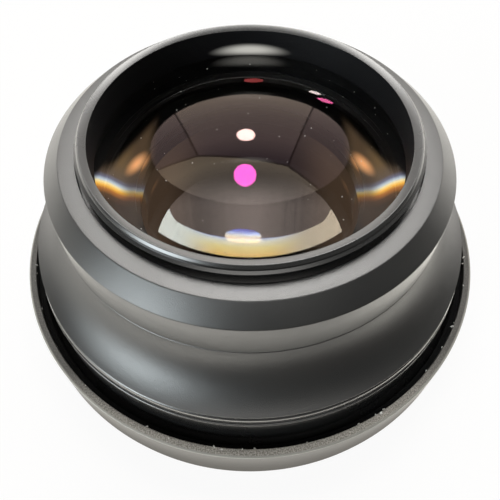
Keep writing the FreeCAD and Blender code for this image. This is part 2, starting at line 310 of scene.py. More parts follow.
def room_for_metal(tree, way, y, z):
    """Radiance of the room for everything but polished glass."""
    wall = product(tree, ramp(tree, y, 0.15, 0.5), ramp(tree, z, 0.35, 0.5))
    backdrop = product(tree, ramp(tree, y, 0.2, 0.55), ramp(tree, z, 0.42, 0.24))
    room = blend(tree, wall, ROOM_DARK, WALL_LIGHT)
    room = blend(tree, backdrop, room, BACKDROP_LIGHT)
    for *disc, colour in SOFT_LIGHTS.values():
        room = blend(tree, disc_mask(tree, way, *disc)[0], room, colour)
    return room


print("soft lights", list(SOFT_LIGHTS))

# %% [markdown]
# ## Putting the room together
# A polished face makes a sharp reflection, and Light Path calls such a ray singular. The number of its transmissions
# tells which glass face sent it back: none for the outermost face, eight for the middle glass, twelve for the
# hollow front glass. The other faces stay dark, as good coatings make them. The magenta lamp is what a coated face
# inside would send back, painted as a second lamp. The camera itself sees plain white, because the photograph's
# background is white.

# %% Make the world
REAR_COUNT, MIDDLE_COUNT, BOWL_COUNT = 0.0, 8.0, 12.0
ROOM_STRENGTH = 2.1
WINDOW_STRENGTH = 6.5
LAMP_STRENGTH = 26.0
CRESCENT_STRENGTH = 16.0
SPOT_STRENGTH = 9.0
LAMP_RADIUS = math.sin(math.radians(2.25))
LAMP = (direction(-1.4, 44.7), LAMP_RADIUS, LAMP_RADIUS, 0.12)
MAGENTA_LAMP = (direction(-2.5, 59.1), 0.050, 0.066, 0.08)
CRESCENT = (direction(3.0, 48.8), 0.092, 0.056)
SMALL_SPOTS = [
    (direction(15.5, 22.3), 0.024, 0.012, (0.95, 0.80, 0.78)),
    (direction(18.6, 24.6), 0.032, 0.014, (1.0, 0.16, 0.42)),
    (direction(0.8, 20.3), 0.036, 0.020, (0.24, 0.035, 0.035)),
]
WINDOW_EDGE = 0.447
WINDOW_BEND, WINDOW_BEND_GROWTH = 0.65, 4.0
HORN_START, HORN_RISE = 0.285, 60.0


def oval_reach(tree, x, y):
    """1 on the rim of the oval, less inside it and more outside."""
    deep = calc(tree, "DIVIDE", calc(tree, "SUBTRACT", y, OVAL_CENTRE), OVAL_HALF_DEPTH)
    return hypot(tree, calc(tree, "DIVIDE", x, OVAL_HALF_WIDTH), deep)


def fringed_window(tree, x, y):
    """Bright window below the oval's far rim, with a blue edge that runs into white and orange, and its mask."""
    square = product(tree, x, x)
    bend = product(tree, calc(tree, "MULTIPLY_ADD", square, WINDOW_BEND_GROWTH, WINDOW_BEND), square)
    beside = calc(tree, "MAXIMUM", calc(tree, "SUBTRACT", calc(tree, "ABSOLUTE", x), HORN_START), 0.0)
    bend = calc(tree, "MULTIPLY_ADD", product(tree, beside, beside), HORN_RISE, bend)
    inside = calc(tree, "SUBTRACT", calc(tree, "ADD", bend, WINDOW_EDGE), y)
    colour = colours(tree, product(tree, inside, 8.0), [
        (0.0, (0.06, 0.12, 0.60)), (0.05, (0.70, 0.85, 1.0)), (0.16, (1.0, 1.0, 0.74)),
        (0.34, (1.0, 0.86, 0.28)), (0.62, (0.97, 0.62, 0.10)),
    ])
    colour = blend(tree, ramp(tree, x, 0.05, 0.25), colour, (0.62, 0.55, 0.40))
    colour = blend(tree, ramp(tree, x, -0.12, -0.30), colour, (0.85, 0.97, 0.92))
    return colour, ramp(tree, inside, -0.002, 0.004)


def count_mask(tree, sharp, count, faces):
    """Mask of the sharp rays that passed this many glass faces."""
    off = calc(tree, "ABSOLUTE", calc(tree, "SUBTRACT", count, faces))
    return product(tree, sharp, calc(tree, "LESS_THAN", off, 0.5))


def streaky_dusk(tree, x, y):
    """Faint upright streaks with a brighter column in the middle, fading towards the far rim."""
    streaks = add_node(tree, "TexNoise", Scale=40.0)
    streaks.noise_dimensions = "1D"
    tree.links.new(x, streaks.inputs["W"])
    column = ramp(tree, calc(tree, "ABSOLUTE", x), 0.22, 0.0)
    uneven = calc(tree, "MULTIPLY_ADD", column, 0.9, calc(tree, "MULTIPLY_ADD", streaks.outputs["Fac"], 0.6, 0.6))
    return product(tree, ramp(tree, y, 0.72, 0.57), uneven)


def room_world():
    """White for the camera, and the painted room for everything else."""
    world = bpy.data.worlds.new("room")
    world.use_nodes = True
    tree = world.node_tree
    tree.nodes.clear()
    way, x, y, z = place_of(tree, "Generated")
    rays = add_node(tree, "LightPath").outputs
    sharp, count = rays["Is Singular Ray"], rays["Transmission Depth"]
    from_rear, from_middle, from_bowl = (
        count_mask(tree, sharp, count, faces) for faces in (REAR_COUNT, MIDDLE_COUNT, BOWL_COUNT)
    )
    oval = ramp(tree, oval_reach(tree, x, y), 1.02, 1.0)
    oval = product(tree, oval, calc(tree, "GREATER_THAN", z, 0.0))
    window_colour, window_mask = fringed_window(tree, x, y)
    crescent, up = disc_mask(tree, way, *CRESCENT)
    crescent = product(tree, crescent, ramp(tree, up, -0.75, -0.6))
    crescent_colour = colours(tree, calc(tree, "MULTIPLY_ADD", up, 0.5, 0.5), [
        (0.10, (0.9, 0.40, 0.04)), (0.36, (1.0, 0.70, 0.25)), (0.56, (1.0, 0.97, 0.9)),
        (0.74, (0.35, 0.5, 1.0)), (0.90, (0.02, 0.05, 0.6)),
    ])
    total = strong(tree, room_for_metal(tree, way, y, z), calc(tree, "SUBTRACT", 1.0, sharp))
    for mask, seen_by, colour, strength in (
        (oval, from_rear, wall_and_ceiling(tree, way, z), ROOM_STRENGTH),
        (product(tree, oval, streaky_dusk(tree, x, y)), from_middle, (0.56, 0.47, 0.43), ROOM_STRENGTH),
        (product(tree, oval, window_mask), from_middle, window_colour, WINDOW_STRENGTH),
        (disc_mask(tree, way, *LAMP)[0], from_rear, (1.0, 0.68, 0.63), LAMP_STRENGTH),
        (disc_mask(tree, way, *MAGENTA_LAMP)[0], from_rear, (1.0, 0.10, 0.66), LAMP_STRENGTH),
        (crescent, from_bowl, crescent_colour, CRESCENT_STRENGTH),
        *[(disc_mask(tree, way, *spot)[0], from_rear, colour, SPOT_STRENGTH) for *spot, colour in SMALL_SPOTS],
    ):
        total = blend(tree, 1.0, total, strong(tree, colour, product(tree, mask, seen_by, strength)), "ADD")
    shade, white = add_node(tree, "Background"), add_node(tree, "Background", Color=(1, 1, 1, 1))
    mix, output = add_node(tree, "MixShader"), add_node(tree, "OutputWorld")
    wire(
        tree, (total, shade.inputs["Color"]), (rays["Is Camera Ray"], mix.inputs["Fac"]),
        (shade.outputs["Background"], mix.inputs[1]), (white.outputs["Background"], mix.inputs[2]),
        (mix.outputs["Shader"], output.inputs["Surface"]),
    )
    bpy.context.scene.world = world
    return world


bpy.context.scene.view_settings.view_transform = "Standard"
print("world", room_world().name, "nodes", len(bpy.context.scene.world.node_tree.nodes))

# %% [markdown]
# ## Surfaces of turning
# Nearly every piece of a lens is turned on a lathe, so one helper makes them all: it takes an outline in
# radius and height and turns it round the axis. Another rounds its corners a little first, because only a round
# edge glints.

# %% Turn an outline on the axis
STEPS_ROUND = 240
CORNER_STEPS = 4


def in_metres(points):
    """Outline in metres from points in millimetres."""
    return [(radius * MM, height * MM) for radius, height in points]


def eased(corners):
    """Outline in metres from corners in millimetres: (r, z), or (r, z, round) for a corner with a round."""
    points = []
    for index, corner in enumerate(corners):
        here = Vector(corner[:2])
        size = corner[2] if len(corner) > 2 else 0
        if size == 0:
            points.append(here)
            continue
        before = Vector(corners[index - 1][:2]) - here
        after = Vector(corners[(index + 1) % len(corners)][:2]) - here
        size = min(size, before.length / 2, after.length / 2)
        start, end = here + before.normalized() * size, here + after.normalized() * size
        for step in range(CORNER_STEPS + 1):
            share = step / CORNER_STEPS
            points.append((1 - share) ** 2 * start + 2 * share * (1 - share) * here + share ** 2 * end)
    return in_metres(points)


def ring_points(shape, radius, height):
    """One ring of vertices, or a single one on the axis."""
    if radius < 1e-7:
        return [shape.verts.new((0, 0, height))]
    turns = [2 * math.pi * step / STEPS_ROUND for step in range(STEPS_ROUND)]
    return [shape.verts.new((radius * math.cos(turn), radius * math.sin(turn), height)) for turn in turns]


def finished(name, shape):
    """Plain mesh from a shape, with its faces turned outward."""
    mesh = bpy.data.meshes.new(name)
    bmesh.ops.recalc_face_normals(shape, faces=shape.faces)
    shape.to_mesh(mesh)
    shape.free()
    return mesh


def turned_mesh(name, outline):
    """Mesh turned from an outline in metres that goes anticlockwise, seen with the radius to the right."""
    shape = bmesh.new()
    rings = [ring_points(shape, radius, height) for radius, height in outline]
    pairs = list(zip(rings, rings[1:]))
    if len(rings[0]) > 1 and len(rings[-1]) > 1:
        pairs.append((rings[-1], rings[0]))
    for low, high in pairs:
        for step in range(STEPS_ROUND):
            following = (step + 1) % STEPS_ROUND
            corners = []
            for ring, places in ((low, (step, following)), (high, (following, step))):
                for place in places[: len(ring)]:
                    corners.append(ring[place if len(ring) > 1 else 0])
            if len(corners) > 2:
                shape.faces.new(corners).smooth = True
    mesh = finished(name, shape)
    mesh.set_sharp_from_angle(angle=math.radians(32))
    return mesh


# %% [markdown]
# ## Putting a piece in the scene
# Each dressed piece is parented to an empty for its body and hides the CAD nodes that it stands for. The helper
# below also reads a node's box, because sizes come from the imported model.

# %% Add a piece, and measure a node


def add_piece(name, mesh, materials, body, nodes=()):
    """Put a finished mesh in the scene, on its body, and hide the CAD nodes it stands for."""
    for material in materials if isinstance(materials, list) else [materials]:
        mesh.materials.append(material)
    piece = new_object(name, mesh)
    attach(piece, body)
    if nodes:
        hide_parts(*nodes)
    print(name, "faces", len(mesh.polygons))
    return piece


def measure(node):
    """Lowest and highest z of a CAD node, and its largest radius, in millimetres."""
    low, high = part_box(node)
    return low.z / MM, high.z / MM, high.x / MM


print("barrel's heights and radius", [round(value, 2) for value in measure("main_barrel")])

# %% [markdown]
# ## Node groups for grain, dust and wear
# Bead blasting leaves a fine, even grain, and anodising keeps it. Moulded plastic has a coarser one. Both are
# noise, so one group makes them, with its scales as inputs. A second group scatters pale specks, which are dust on
# the blasted finish: it keeps only the middle of a few cells of a Voronoi pattern.

# %% Make the shared node groups


def new_group(name, inputs, outputs, kind="ShaderNodeTree"):
    """Empty node group with named sockets: inputs are (name, kind) and perhaps a value, outputs (name, kind)."""
    group = bpy.data.node_groups.new(name, kind)
    for label, socket_kind, *value in inputs:
        socket = group.interface.new_socket(name=label, in_out="INPUT", socket_type="NodeSocket" + socket_kind)
        if value:
            socket.default_value = value[0]
    for label, socket_kind in outputs:
        group.interface.new_socket(name=label, in_out="OUTPUT", socket_type="NodeSocket" + socket_kind)
    return group, group.nodes.new("NodeGroupInput"), group.nodes.new("NodeGroupOutput")


def grain_group():
    """Fine and coarse noise: puts out a height for a bump, and a slow cloud for colour."""
    group, entry, leave = new_group(
        "surface_grain", [("Grain Scale", "Float"), ("Cloud Scale", "Float", 60.0)],
        [("Height", "Float"), ("Cloud", "Float")],
    )
    place = add_node(group, "TexCoord").outputs["Object"]
    for scale, detail, result in (("Grain Scale", 3.0, "Height"), ("Cloud Scale", 4.0, "Cloud")):
        noise = add_node(group, "TexNoise", Detail=detail)
        wire(
            group, (place, noise.inputs["Vector"]), (entry.outputs[scale], noise.inputs["Scale"]),
            (noise.outputs["Fac"], leave.inputs[result]),
        )
    return group


def speck_group():
    """Few small specks: puts out a mask."""
    group, entry, leave = new_group(
        "pale_specks", [("Scale", "Float"), ("Share", "Float"), ("Size", "Float")], [("Mask", "Float")],
    )
    cells = add_node(group, "TexVoronoi")
    chosen = calc(group, "LESS_THAN", cells.outputs["Color"], entry.outputs["Share"])
    middle = calc(group, "LESS_THAN", cells.outputs["Distance"], entry.outputs["Size"])
    wire(
        group, (add_node(group, "TexCoord").outputs["Object"], cells.inputs["Vector"]),
        (entry.outputs["Scale"], cells.inputs["Scale"]), (product(group, chosen, middle), leave.inputs["Mask"]),
    )
    return group


GRAIN = grain_group()
SPECKS = speck_group()
print("groups", [group.name for group in bpy.data.node_groups])

# %% [markdown]
# ## Anodised metal
# Black anodising is a thin dark glassy layer on aluminium. It behaves like a dark paint with a soft sheen, not
# like bare metal, so the shader is nearly black with a fairly rough reflection and a high index. The grain
# breaks that reflection into tiny sparkles.

# %% Finishes of metal, plastic and felt


def new_material(name, **values):
    """Material with an empty tree, a Principled shader with these inputs, and its output."""
    material = bpy.data.materials.new(name)
    material.use_nodes = True
    tree = material.node_tree
    tree.nodes.clear()
    shader = add_node(tree, "BsdfPrincipled", **values)
    tree.links.new(shader.outputs["BSDF"], add_node(tree, "OutputMaterial").inputs["Surface"])
    return material, tree, shader


def use_group(tree, group, **values):
    """Place a node group in a tree with its own values."""
    node = add_node(tree, "Group")
    node.node_tree = group
    return set_inputs(node, **values)


ROUGHNESS_DRIFT = 0.04


def grained(name, dark, light, roughness, index, grain_scale, depth, specks=None):
    """Finish with a grained surface whose colour and roughness drift slowly over the piece."""
    material, tree, shader = new_material(name, IOR=index)
    grain = use_group(tree, GRAIN, Grain_Scale=grain_scale)
    colour = colours(tree, grain.outputs["Cloud"], [(0.35, dark), (0.65, light)])
    if specks:
        scale, share, size, pale = specks
        dots = use_group(tree, SPECKS, Scale=scale, Share=share, Size=size)
        colour = blend(tree, dots.outputs["Mask"], colour, pale)
    shine = add_node(tree, "MapRange", To_Min=roughness - ROUGHNESS_DRIFT, To_Max=roughness + ROUGHNESS_DRIFT)
    wire(
        tree, (colour, shader.inputs["Base Color"]), (grain.outputs["Cloud"], shine.inputs["Value"]),
        (shine.outputs["Result"], shader.inputs["Roughness"]),
    )
    add_bump(tree, shader, grain.outputs["Height"], depth)
    return material


PALE_DUST = (0.30, 0.29, 0.27)
BLASTED = grained(
    "blasted_anodised", (0.009,) * 3, (0.014, 0.014, 0.013), 0.37, 2.1, 7000.0, 0.035,
    specks=(1500.0, 0.012, 0.22, PALE_DUST),
)
SATIN = grained("satin_anodised", (0.012,) * 3, (0.016,) * 3, 0.27, 2.2, 9000.0, 0.006)
INNER_BLACK = grained("inner_black", (0.004,) * 3, (0.006,) * 3, 0.5, 1.4, 3000.0, 0.02)
FELT = grained("black_felt", (0.003,) * 3, (0.006,) * 3, 0.95, 1.3, 2500.0, 0.15)
RUBBER = grained("rubber", (0.012,) * 3, (0.02,) * 3, 0.6, 1.5, 2000.0, 0.02)
STEEL = grained("black_steel", (0.02,) * 3, (0.03,) * 3, 0.35, 2.2, 4000.0, 0.01)
print("finishes", len(bpy.data.materials))

# %% [markdown]
# ## Glass
# Each glass piece is a closed body with two polished faces and a blackened rim. Every face has a coating that kills
# most of its reflection and tints what is left, so each face gets a material of its own. On the Principled
# shader the specular tint scales the reflection of a clear material and leaves its refraction alone. Cement
# joins two glasses so well that light goes straight on: that face has an index of 1.

# %% Glass materials
RIM_BLACK = grained("blackened_rim", (0.002,) * 3, (0.004,) * 3, 0.6, 1.2, 2000.0, 0.01)


def glass_face(name, index, tint):
    """Polished glass face whose reflection is scaled by a tint."""
    material, _, _ = new_material(
        name, Base_Color=(1, 1, 1, 1), Roughness=0.0, IOR=index, Specular_Tint=(*tint, 1), Transmission_Weight=1.0,
    )
    return material


CROWN_INDEX = 1.52
MIDDLE_INDEX = 1.85
REAR_FACE = glass_face("rear_face_glass", CROWN_INDEX, (1.0, 0.98, 0.97))
CEMENT_FACE = glass_face("cemented_face_glass", 1.0, (0.0,) * 3)
HOLLOW_FACE = glass_face("hollow_face_glass", CROWN_INDEX, (0.01,) * 3)
MIDDLE_FACE = glass_face("middle_face_glass", MIDDLE_INDEX, (1.0, 0.97, 0.95))
FLAT_FACE = glass_face("flat_face_glass", MIDDLE_INDEX, (0.01,) * 3)
BOWL_FACE = glass_face("bowl_face_glass", CROWN_INDEX, (1.0,) * 3)
FRONT_FACE = glass_face("front_face_glass", CROWN_INDEX, (0.02,) * 3)
print("glass faces", [material.name for material in bpy.data.materials if material.name.endswith("glass")])

# %% [markdown]
# ## Thread ring
# The mounting thread is cut on the outside of this ring. A thread is one ridge that winds round the ring, and
# here it is laid on as a helix with a narrow flat crest. The ring's face is dished: it rises from the opening's
# edge to a crest, and then falls away to the first turn of the thread.

# %% Turn the thread ring
THREAD_PITCH = 0.75
THREAD_DEPTH = 0.45
CREST = 29.0
OPENING = 26.9
RIM_FACE = 1.25
RIM_DISH = 0.6
RELIEF = 28.05
NOSE_RISE = 1.0
NOSE_BORE = 29.31
COLLAR_PLATE = 1.75
ROOT = CREST - THREAD_DEPTH
GLINT_HALF_WIDTH, GLINT_HALF_HEIGHT, GLINT_RISE = 9.0, 1.7, 1.3
ring_low, rim_top, ring_flange = measure("rear_thread_ring")
collar_low, shoulder, band = measure("rear_collar")
nose, plate_base = ring_low + NOSE_RISE, shoulder - COLLAR_PLATE


def bore_black():
    """Matte black of the bore, with the soft glint that the edge of the glass throws on its far wall."""
    material, tree, shader = new_material(
        "bore_black", Emission_Strength=1.0, Base_Color=(0.006, 0.006, 0.007, 1), Roughness=0.55, IOR=1.3,
    )
    place, x, y, z = place_of(tree)
    wide = calc(tree, "DIVIDE", x, GLINT_HALF_WIDTH * MM)
    away = calc(tree, "DIVIDE", calc(tree, "SUBTRACT", z, (nose + GLINT_RISE) * MM), GLINT_HALF_HEIGHT * MM)
    glint = ramp(tree, hypot(tree, wide, away), 1.0, 0.15)
    glint = product(tree, glint, calc(tree, "GREATER_THAN", y, 0.0))
    tree.links.new(strong(tree, (0.50, 0.49, 0.45), glint), shader.inputs["Emission Color"])
    turned = add_node(tree, "TexWave", Scale=900.0)
    turned.bands_direction = "Z"
    tree.links.new(place, turned.inputs["Vector"])
    add_bump(tree, shader, turned.outputs["Fac"], 0.02)
    return material


def thread_ring_mesh():
    """The ring with its thread root as a plain wall; the ridge is laid on top of it."""
    corners = [
        (OPENING, nose), (NOSE_BORE, nose), (NOSE_BORE, ring_low), (ring_flange, ring_low),
        (ring_flange, plate_base), (RELIEF, plate_base), (RELIEF, shoulder + 0.7, 0.1),
        (ROOT, shoulder + 0.9, 0.1), (ROOT, rim_top - 0.5, 0.1), (OPENING + RIM_FACE, rim_top, 0.16),
        (OPENING, rim_top - RIM_DISH, 0.08),
    ]
    mesh = turned_mesh("thread_ring", eased(corners))
    for face in mesh.polygons:
        if math.hypot(face.center.x, face.center.y) < (OPENING + 0.02) * MM and abs(face.normal.z) < 0.5:
            face.material_index = 1
    return mesh


def ridge_mesh():
    """One ridge that winds up the ring from the relief to the rim."""
    shape = bmesh.new()
    low, high = shoulder + 1.0, rim_top - 0.82
    steps = int((high - low) / THREAD_PITCH * STEPS_ROUND)
    profile = [(-0.3, -0.05), (-0.06, THREAD_DEPTH), (0.06, THREAD_DEPTH), (0.3, -0.05)]
    rows = []
    for step in range(steps + 1):
        angle = 2 * math.pi * step / STEPS_ROUND
        rise = low + THREAD_PITCH * step / STEPS_ROUND
        ends = min(1.0, step / 12, (steps - step) / 12)
        row = []
        for aside, out in profile:
            radius = (ROOT + (out if out < 0 else out * ends)) * MM
            row.append(shape.verts.new((radius * math.cos(angle), radius * math.sin(angle), (rise + aside) * MM)))
        rows.append(row)
    for row, following in zip(rows, rows[1:]):
        for place in range(4):
            beside = (place + 1) % 4
            shape.faces.new((row[place], following[place], following[beside], row[beside]))
    shape.faces.new(rows[0])
    shape.faces.new(rows[-1][::-1])
    return finished("thread_ridge", shape)


add_piece("thread_ring", thread_ring_mesh(), [SATIN, bore_black()], "lens", ["rear_thread_ring"])
add_piece("thread_ridge", ridge_mesh(), SATIN, "lens")

# %% [markdown]
# ## Collar, barrel and rings
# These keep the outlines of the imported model, with their edges eased so that each one draws a thin bright line.

# %% Turn the collar
BEVEL_WIDTH = 2.9
BEVEL_DROP = 2.65
COLLAR_WALL = 2.55
RECESS = CREST + 0.25

# From the inside out: straight band, bevel, flat annulus and the recess round the thread.
collar_mesh = turned_mesh("collar", eased([
    (band - COLLAR_WALL, plate_base), (band - COLLAR_WALL, collar_low), (band, collar_low, 0.2),
    (band, shoulder - BEVEL_DROP, 0.16), (band - BEVEL_WIDTH, shoulder, 0.14), (RECESS, shoulder, 0.1),
    (RECESS, plate_base),
]))
add_piece("collar", collar_mesh, BLASTED, "lens", ["rear_collar"])

# %% [markdown]
# ## The lit black inside
# The walls under the rear glass are lit through it, and the glass gathers the light into golden arcs. Tracing such
# caustics takes thousands of samples, so the arcs are painted as a glow: a fold that runs across the ledge at each
# side, an orange spot above it, and a faint dusk round both.

# %% Paint the golden arcs
waist_top, _, neck_bore = measure("baffle_washer")
FOLD_REACH = 5.0
FOLD_SAG = 2.2
SPOT_ASIDE, SPOT_BACK = 20.9, 5.6
SPOT_HALF_WIDTH, SPOT_HALF_LENGTH, SPOT_LEAN = 1.9, 3.6, 0.4


def lit_black():
    """Matte black with the golden arcs that the rear glass throws on the walls below it."""
    material, tree, shader = new_material(
        "lit_inner_black", Base_Color=(0.004, 0.004, 0.004, 1), Roughness=0.5, Emission_Strength=1.0,
    )
    _, *parts = place_of(tree)
    x, y, z = (product(tree, part, 1 / MM) for part in parts)
    aside = calc(tree, "ABSOLUTE", x)
    back = calc(tree, "MULTIPLY_ADD", calc(tree, "SUBTRACT", z, waist_top), 0.85, y)
    bent = calc(tree, "MULTIPLY_ADD", ramp(tree, aside, 21.5, 27.0), -FOLD_SAG, back)
    along_fold = calc(tree, "DIVIDE", calc(tree, "ADD", bent, FOLD_REACH), 2 * FOLD_REACH)
    fold = colours(tree, along_fold, [
        (0.06, (0, 0, 0)), (0.18, (0.05, 0.022, 0.008)), (0.28, (0.42, 0.14, 0.02)),
        (0.35, (0.95, 0.50, 0.06)), (0.41, (0.95, 0.78, 0.36)), (0.46, (0.50, 0.60, 0.68)),
        (0.53, (0.12, 0.14, 0.22)), (0.62, (0.085, 0.065, 0.048)), (0.95, (0.11, 0.070, 0.030)),
    ])
    strength = calc(tree, "MULTIPLY_ADD", ramp(tree, aside, 21.0, 24.0), 0.72, 0.28)
    above = ramp(tree, calc(tree, "MULTIPLY_ADD", aside, 1.7, back), 49.6, 46.0)
    lit = product(tree, above, ramp(tree, aside, 17.5, 20.0))
    glow = strong(tree, fold, product(tree, lit, strength))
    from_spot = calc(tree, "SUBTRACT", back, SPOT_BACK)
    off_side = calc(tree, "MULTIPLY_ADD", from_spot, SPOT_LEAN, calc(tree, "SUBTRACT", aside, SPOT_ASIDE))
    off_side = calc(tree, "DIVIDE", off_side, SPOT_HALF_WIDTH)
    off = hypot(tree, off_side, calc(tree, "DIVIDE", from_spot, SPOT_HALF_LENGTH))
    for colour, mask in (
        ((0.80, 0.36, 0.14), ramp(tree, off, 1.0, 0.0)),
        ((0.042, 0.026, 0.016), product(tree, lit, ramp(tree, back, -22.0, -3.0))),
    ):
        glow = blend(tree, 1.0, glow, strong(tree, colour, mask), "ADD")
    tree.links.new(glow, shader.inputs["Emission Color"])
    return material


LIT_BLACK = lit_black()
print("lit black, glow above", round(waist_top, 2), "mm")

# %% Turn the barrel
FLARE_STEPS = 28
MOUTH_LAND = 0.6
WAIST_BORE = 31.5
SPIGOT = 38.86
GAP = 0.05
barrel_low, barrel_high, mouth = measure("main_barrel")
bead_low, bead_high, bead = measure("bead_ring")
middle_low, middle_high, middle_edge = measure("middle_element")
_, front_seat, front_edge = measure("front_gasket")
_, retainer_top, retainer_edge = measure("front_retaining_ring")


def flare_points():
    """The hollow trumpet curve, from the band down to the mouth, in millimetres."""
    top, spread = collar_low - 0.15, mouth - band
    drop = top - bead_high - MOUTH_LAND
    curve = (drop * drop + spread * spread) / (2 * spread)
    turn = math.asin(drop / curve)
    angles = [turn * step / FLARE_STEPS for step in range(FLARE_STEPS + 1)]
    return [(band + curve * (1 - math.cos(angle)), top - curve * math.sin(angle)) for angle in angles]


def barrel_mesh():
    """Spigot, front seat, waist and neck inside; the flare outside."""
    lip, bore, cell = middle_edge - 0.9, middle_edge + 0.06, middle_edge + 0.76
    seat, seat_bore, step = front_seat + 0.02, front_edge + 0.06, retainer_top + 0.4
    corners = [
        (retainer_edge + GAP, barrel_low), (retainer_edge + GAP, step), (seat_bore, step), (seat_bore, seat),
        (WAIST_BORE, seat), (lip, middle_low - 1.12), (lip, middle_low - 0.02), (bore, middle_low - 0.02),
        (bore, middle_low + 1.25), (cell, middle_low + 1.25), (cell, waist_top), (neck_bore + GAP, waist_top),
        (neck_bore + GAP, barrel_high), (ring_flange, barrel_high), (ring_flange, collar_low),
        (band - 0.15, collar_low), *flare_points(), (mouth, bead_high + 0.25, 0.1), (mouth - 0.25, bead_high, 0.1),
        (SPIGOT, bead_high), (SPIGOT, barrel_low),
    ]
    mesh = turned_mesh("barrel", eased(corners))
    for face in mesh.polygons:
        faces_axis = face.normal.x * face.center.x + face.normal.y * face.center.y < 0
        inner_step = math.hypot(face.center.x, face.center.y) < neck_bore * MM and face.center.z < waist_top * MM
        if faces_axis or inner_step:
            face.material_index = 1
    return mesh


add_piece("barrel", barrel_mesh(), [BLASTED, LIT_BLACK], "lens", ["main_barrel"])

# %% Turn the bead ring and the front ring
SPIGOT_BORE = 38.91
ACCESSORY_BORE = 38.06
ring_base, ring_top, grip = measure("front_ring")
EASE = 0.5

# The bead has a round top edge and an undercut below.
undercut = bead - 0.25
bead_mesh = turned_mesh("bead", eased([
    (SPIGOT_BORE, bead_low), (undercut, bead_low), (undercut, bead_low + 0.4), (bead, bead_low + 0.55, 0.12),
    (bead, bead_high, 0.8), (SPIGOT_BORE, bead_high),
]))
# The front ring has a thin top edge, a plain side and a wider grip at the bottom.
side, grip_top = bead + 0.2, ring_base + 6.65
front_ring_mesh = turned_mesh("front_ring_body", eased([
    (ACCESSORY_BORE, ring_base + EASE), (ACCESSORY_BORE + EASE, ring_base), (grip - EASE, ring_base, 0.1),
    (grip, ring_base + EASE, 0.1), (grip, grip_top, 0.2), (side, grip_top + 1.15, 0.2),
    (side, ring_top, 0.25), (SPIGOT_BORE, ring_top), (SPIGOT_BORE, barrel_low), (ACCESSORY_BORE, barrel_low),
]))
add_piece("bead", bead_mesh, SATIN, "lens", ["bead_ring"])
add_piece("front_ring_body", front_ring_mesh, SATIN, "lens", ["front_ring"])

# %% [markdown]
# ## Cap
# The cap is moulded plastic. Its lip has a rough, granular top, a thin bright outer edge that has rubbed
# against pockets and tables, and a smooth side. Wear goes where the shape is most exposed, which here is a
# radius, so the mask for it reads the distance from the axis and the height. Through the lens the cap's floor
# looks lit, so a ray that has passed glass sees a faint glow there.

# %% Turn the cap
_, cap_top, cap_side = measure("cap_shell")
CAP_WALL = 1.35
CAP_FLOOR = 2.0
CAP_FOOT = 1.6

# The cap is a cup with a rounded foot.
cap_mesh = turned_mesh("cap", eased([
    (0, 0), (cap_side, 0, 2.0 * CAP_FOOT), (cap_side, cap_top, 0.3), (cap_side - CAP_WALL, cap_top, 0.15),
    (cap_side - CAP_WALL, CAP_FLOOR), (0, CAP_FLOOR),
]))


def worn_plastic():
    """Moulded plastic: smooth side, granular lip with painted light on its front, rubbed outer edge. Seen through the
    lens, its floor is lit.
    """
    material, tree, shader = new_material("worn_plastic", Emission_Strength=1.0)
    place, x, y, height = place_of(tree)
    radius = hypot(tree, x, y)
    grain = use_group(tree, GRAIN, Grain_Scale=4200.0, Cloud_Scale=90.0)
    lip = ramp(tree, height, (cap_top - 0.35) * MM, (cap_top - 0.15) * MM)
    edge = product(tree, lip, ramp(tree, radius, (cap_side - 0.45) * MM, (cap_side - 0.2) * MM))
    plain = colours(tree, grain.outputs["Cloud"], [
        (0.35, (0.024, 0.023, 0.021)), (0.65, (0.034, 0.032, 0.029)),
    ])
    grainy = colours(tree, grain.outputs["Height"], [
        (0.38, (0.045, 0.041, 0.036)), (0.64, (0.115, 0.108, 0.096)),
    ])
    # Painted light: the lip's grain is painted lighter towards the front, on the camera's side, where light falls on
    # it.
    front = ramp(tree, along(tree, place, (0.05, -0.999, 0.0)), 27 * MM, 42 * MM)
    colour = blend(tree, lip, plain, strong(tree, grainy, calc(tree, "MULTIPLY_ADD", front, 3.4, 0.85)))
    colour = blend(tree, edge, colour, (0.34, 0.33, 0.30))
    through = add_node(tree, "LightPath").outputs["Transmission Depth"]
    floor = product(
        tree, ramp(tree, height, 2.4 * MM, 2.2 * MM), ramp(tree, height, 1.4 * MM, 1.6 * MM),
        ramp(tree, calc(tree, "ABSOLUTE", x), 8 * MM, 17 * MM), ramp(tree, radius, 34 * MM, 24 * MM),
        calc(tree, "GREATER_THAN", through, 0.5),
    )
    wire(
        tree, (colour, shader.inputs["Base Color"]),
        (strong(tree, (0.060, 0.038, 0.024), floor), shader.inputs["Emission Color"]),
        (calc(tree, "MULTIPLY_ADD", lip, 0.08, 0.40), shader.inputs["Roughness"]),
    )
    add_bump(tree, shader, product(tree, grain.outputs["Height"], calc(tree, "MULTIPLY_ADD", lip, 0.8, 0.2)), 0.06)
    return material


add_piece("cap", cap_mesh, worn_plastic(), "cap", ["cap_shell"])

# %% [markdown]
# ## The glass pieces
# A lens face is part of a sphere, so its outline is an arc. Fine steps matter here more than anywhere else:
# a faceted glass shows its facets in every reflection. The sphere of a face follows from its edge radius and its
# depth, as the sagitta formula says. Faces that look up get the upper coating, those that look down the lower.

# %% Turn the glass
GLASS_STEPS = 64
UPPER, LOWER, RIM = 0, 1, 2


def face_points(middle, depth, edge, reach=None):
    """Points from the axis out along a face that rises (or falls, if negative) by depth at its edge."""
    radii = [(reach or edge) * step / GLASS_STEPS for step in range(GLASS_STEPS + 1)]
    if depth == 0:
        return [(radius, middle) for radius in radii]
    sphere, way = (depth * depth + edge * edge) / (2 * abs(depth)), math.copysign(1.0, depth)
    return [(radius, middle + way * (sphere - math.sqrt(sphere * sphere - radius * radius))) for radius in radii]


